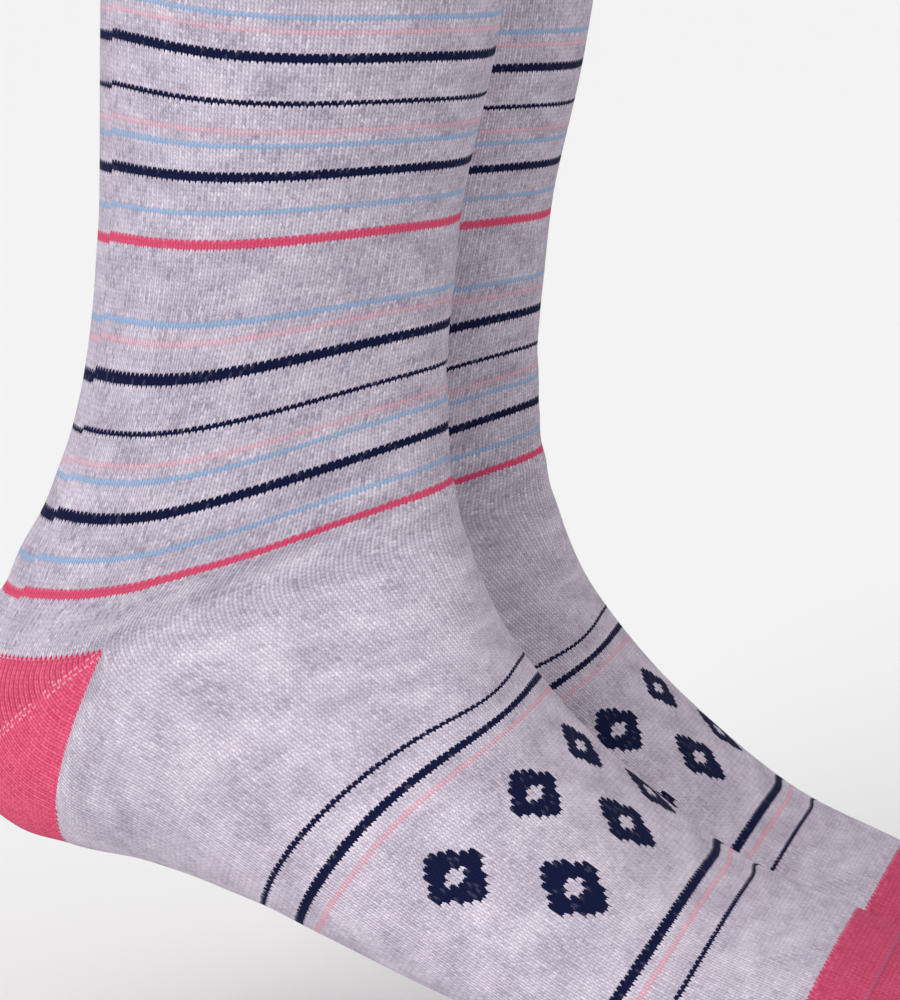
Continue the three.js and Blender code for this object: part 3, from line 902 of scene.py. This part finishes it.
def striped_heather():
    finish = Finish("striped_heather_knit")
    wale, turn, course, height, speck = stitches(finish)
    colour, grain = heather(finish, wale, turn, speck)
    on_leg = course < HEEL_START - 1
    covered = 1 - (speck > 0.93) * 0.05  # here and there a heather fibre shows through a stripe
    for yarn, band in chart_masks(course % LEG_REPEAT, LEG_CHART).items():
        colour = finish.mix(band & on_leg & covered & STRENGTH[yarn], colour, yarn)
    for yarn, band in chart_masks(course, FOOT_CHART).items():
        colour = finish.mix(band & covered & STRENGTH[yarn], colour, yarn)
    colour = finish.mix(lozenges(wale, course) & covered, colour, NAVY)
    # Round the heel's hole the first pink loops poke in between the heather ones, and the toe's yarn starts a round
    # before the toe's own skin.
    tip = 0.75 - abs((wale % 1.0) * 2 - 1) * 0.9
    beside_heel = (abs(wale - HALF) < QUARTER) & (abs(turn - HEEL_START) < tip)
    colour = finish.mix(beside_heel, colour, LIT_HEEL_PINKS[0])
    toe_yarn = course > TOE_START - HEEL_COURSES - TOE_EARLY
    colour = finish.mix(toe_yarn, colour, finish.mix(speck, *SHADED_TOE_PINKS))
    return knitted(finish, colour, height, grain)


# %% [markdown]
# The cuff is the same heather without stripes. In the purl wales the yarn lies across, so they show bars and not Vs.


# %% Ribbed heather
def ribbed_heather():
    finish = Finish("ribbed_heather_knit")
    wale, turn, course, height, speck = stitches(finish, spiral=False)
    colour, grain = heather(finish, wale * (WALES / (RIB_WALES * RIBS)), turn, speck)
    purl = abs((wale + 1) % RIB_WALES - 2) < 1
    bars = ((turn * (2 * np.pi)).maths("SINE") + 1) * 0.5
    height = height * (1 - purl) + bars * purl
    # Painted shade: the sunken purl wales are painted 12% darker than the ribs.
    return knitted(finish, finish.shade(colour, 1 - purl * 0.12), height, grain)


# %% [markdown]
# Heel and toe are knitted in a hot pink yarn. Beside the gore line runs a double row of small pale dashes, where the
# stitches are picked up again. Above it the heel's columns are drawn tight and stand up like narrow ribs.

# %% Pink heel and toe
PICKED_UP, SEAM_YARN = linear(248, 190, 206), linear(176, 96, 134)
DASH_ROWS = [(-0.55, 0.0), (0.5, 0.5)]  # mm from the gore line, and how many wales the row is shifted
DASH_LONG, DASH_THICK = 0.24, 0.19  # half of a dash, in wales and in mm
SEAM_LINE = 0.32  # mm, half the seam's coloured line


def dashes(finish, wale, gore, centre, shift):
    """A row of short dashes beside the gore line: one for each wale, and a few are missing."""
    column = wale + shift
    within = abs(column % 1.0 - 0.5) < DASH_LONG
    return within & gore.near(centre, DASH_THICK) & (finish.chance(column.floor(), centre) > 0.12)


def hot_pink(name, pinks, ribbed):
    finish = Finish(name)
    wale, turn, course, height, speck = stitches(finish, spiral=False)
    gore, seam = finish.pair("joins")
    broad, fine = clouds(finish, wale, turn)
    grain = grain_of(finish, wale, turn)
    mottle = (broad - 0.5) * 0.5 + (fine - 0.5) * 0.6 + (grain - 0.5) * 0.9 + (speck - 0.5) * 0.4
    # Painted light and shade: one leg of each stitch is painted lighter and the other darker.
    share = 0.5 + mottle + painted_leg_shading(wale) * 0.2
    colour = finish.mix(share, *pinks)
    if ribbed:
        groove = (abs((wale % 1.0) * 2 - 1) ** 3) & (gore < -0.8) & (gore > -60)
        # Painted shade: the grooves between the heel's tight columns are painted up to 34% darker, and their relief
        # sinks there too.
        colour = finish.shade(colour, 1 - groove * 0.34)
        height = height * (1 - groove * 0.8)
    above, below = (dashes(finish, wale, gore, *row) for row in DASH_ROWS)
    colour = finish.mix((above | below) * 0.8, colour, PICKED_UP)
    stray = (finish.chance((wale * 2).floor(), (gore * 2).floor()) > 0.95) & (abs(gore) < 2.0)
    colour = finish.mix(stray * 0.35, colour, PICKED_UP)
    colour = finish.mix((abs(seam) < SEAM_LINE) * 0.7, colour, SEAM_YARN)
    return knitted(finish, colour, height, fine, PINK_GAP_SHADE)


# %% [markdown]
# Now every piece is made for both feet, gets its finish, rides on the one body and takes the place of its solid. Each
# is a sheet of knitting whose size off the foot, with wales at 1.2 mm and rounds at 0.95 mm, is worked out but not
# used.

# %% Make the pieces
REST_WALE, REST_ROUND, REST_RIB_WALE = 1.2 * MM, 0.95 * MM, 1.45 * MM
HEEL_ROUNDS, TOE_ROUNDS = 70, 66  # with the short rows
FINISHES = {
    "cuff": ribbed_heather(),
    "leg_and_foot": striped_heather(),
    "heel": hot_pink("ribbed_pink_knit", LIT_HEEL_PINKS, ribbed=True),
    "toe": hot_pink("plain_pink_knit", SHADED_TOE_PINKS, ribbed=False),
}
MAKERS = {"cuff": cuff, "leg_and_foot": leg_and_foot, "heel": heel, "toe": toe}
SOLIDS = {"cuff": ["cuff"], "leg_and_foot": ["leg", "foot"], "heel": ["heel"], "toe": ["toe"]}
FLAT_SIZES = {  # width and length off the foot, and the share of that rectangle
    "cuff": (RIB_WALES * RIBS * REST_RIB_WALE, CUFF_HEIGHT * MM, 1.0),
    "leg_and_foot": (WALES * REST_WALE, (TOE_START - HEEL_COURSES) * REST_ROUND, 1.0),
    "heel": (HALF * REST_WALE, HEEL_ROUNDS * REST_ROUND, 0.6),
    "toe": (WALES * REST_WALE, TOE_ROUNDS * REST_ROUND, 0.7),
}
for side in PLACES:
    for part, make in MAKERS.items():
        piece = make(side)
        piece.data.materials.append(FINISHES[part])
        width, length, share = FLAT_SIZES[part]
        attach(piece, "root")
        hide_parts(*[f"{side}_{solid}" for solid in SOLIDS[part]])
        width * length * share

# %% [markdown]
# A plain pale floor and soft studio light. The sun lamps are wide, so their shadows have no edge, and the pale world
# fills them. The key light comes from the left of the camera, as in the photograph, where the legs darken to the right.

# %% Camera
AZIMUTH, ELEVATION = np.radians(-75), np.radians(11.5)
TARGET, DISTANCE, LENS = Vector((-0.05, -0.03, -0.149)), 0.896, 153.9
level = np.cos(ELEVATION)
back = Vector((np.sin(AZIMUTH) * level, -np.cos(AZIMUTH) * level, np.sin(ELEVATION)))
right = back.cross(Vector((0, 0, 1))).normalized() * -1
camera = bpy.data.objects.new("camera", bpy.data.cameras.new("camera"))
camera.data.lens, camera.data.sensor_width = LENS, 36
camera.data.clip_start, camera.data.clip_end = 0.01, 100
camera.location = TARGET + back * DISTANCE
camera.rotation_mode = "QUATERNION"
camera.rotation_quaternion = (-back).to_track_quat("-Z", "Y")
bpy.context.scene.collection.objects.link(camera)
bpy.context.scene.camera = camera
print("camera at, mm:", [round(c / MM) for c in camera.location])


# %% Lights, world and floor
def sun(name, toward, strength, width):
    lamp = bpy.data.objects.new(name, bpy.data.lights.new(name, "SUN"))
    lamp.data.energy, lamp.data.angle = strength, np.radians(width)
    lamp.rotation_mode = "QUATERNION"
    lamp.rotation_quaternion = (-toward).to_track_quat("-Z", "Y")
    bpy.context.scene.collection.objects.link(lamp)


sun("key", back * 0.85 - right * 0.75 + Vector((0, 0, 0.45)), 1.5, 40)
sun("top", back * 0.25 + Vector((0, 0, 1)), 0.65, 60)

PALE = linear(242, 242, 242)
world = bpy.data.worlds.new("studio")
world.use_nodes = True
bpy.context.scene.world = world
world.node_tree.nodes["Background"].inputs["Color"].default_value = PALE
world.node_tree.nodes["Background"].inputs["Strength"].default_value = 0.67

FLOOR_DROP, FLOOR_HALF = 0.006, 12
low = cad_box[0][2] - FLOOR_DROP
floor_mesh = bpy.data.meshes.new("floor")
corners = [(x * FLOOR_HALF, y * FLOOR_HALF, low) for x, y in ((-1, -1), (1, -1), (1, 1), (-1, 1))]
floor_mesh.from_pydata(corners, [], [(0, 1, 2, 3)])
floor = bpy.data.objects.new("floor", floor_mesh)
bpy.context.scene.collection.objects.link(floor)
paper = Finish("pale_floor")
paper_look = {"Base Color": (0.88, 0.88, 0.88, 1), "Roughness": 0.9}
paper_shader = paper.node("ShaderNodeBsdfPrincipled", {}, paper_look)
paper.node("ShaderNodeOutputMaterial", {}, {"Surface": paper_shader})
floor_mesh.materials.append(paper.material)
bpy.context.scene.view_settings.view_transform = "Standard"
